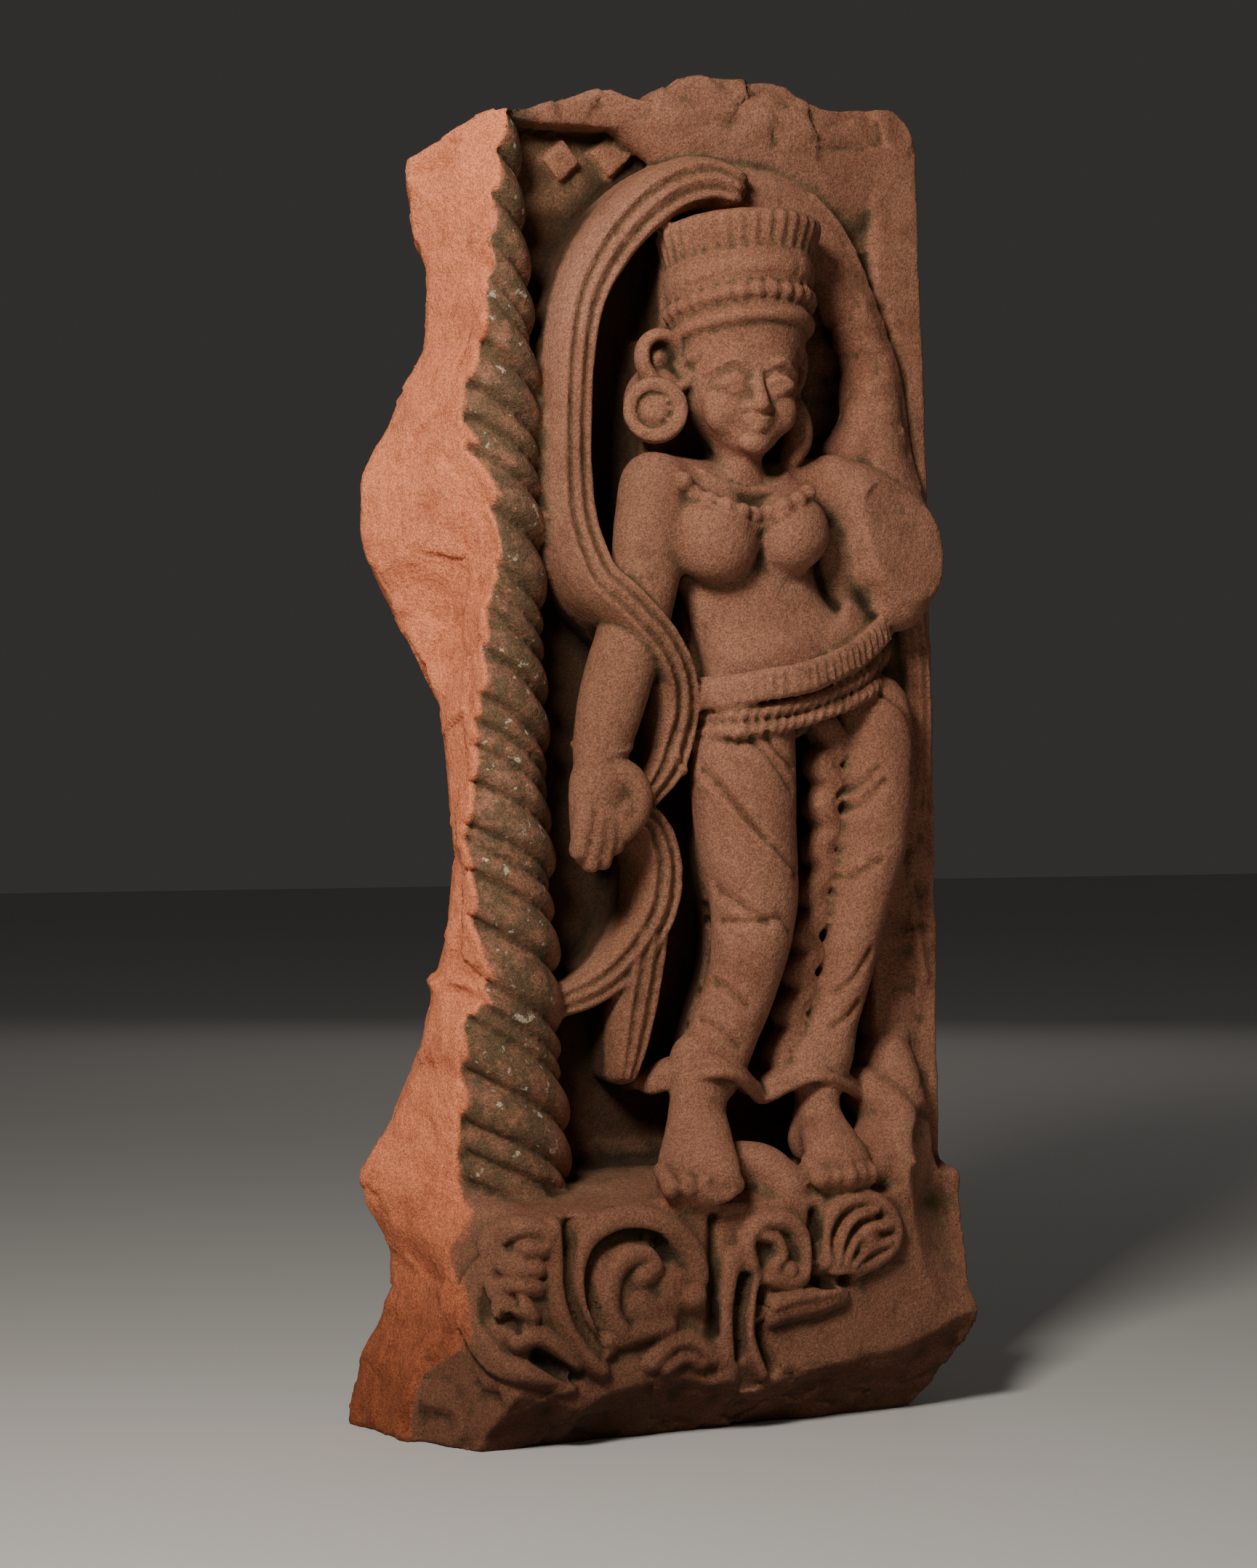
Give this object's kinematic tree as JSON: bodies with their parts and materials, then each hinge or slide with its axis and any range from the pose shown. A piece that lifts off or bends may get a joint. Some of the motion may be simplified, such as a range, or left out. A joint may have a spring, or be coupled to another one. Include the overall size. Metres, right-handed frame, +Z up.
{
  "type": "relief stele fragment",
  "caption": "Broken red sandstone relief stele: a standing draped figure in a flared crown under a scarf arch, a twisted border on one side, scroll carving on the base.",
  "frame": {"origin": "on the flat underside, below the middle of the carved panel, 48 mm in front of the slab's back", "axes": "+Z up the stele; +X to the viewer's right; -Y out of the carved face towards the viewer"},
  "size_m": [0.2287, 0.0986, 0.5078],
  "materials": {
    "red_sandstone": "matt weathered red sandstone, with fresh orange-red on the broken left face"
  },
  "bodies": {
    "root": {"stele": "red_sandstone"}
  },
  "joints": []
}
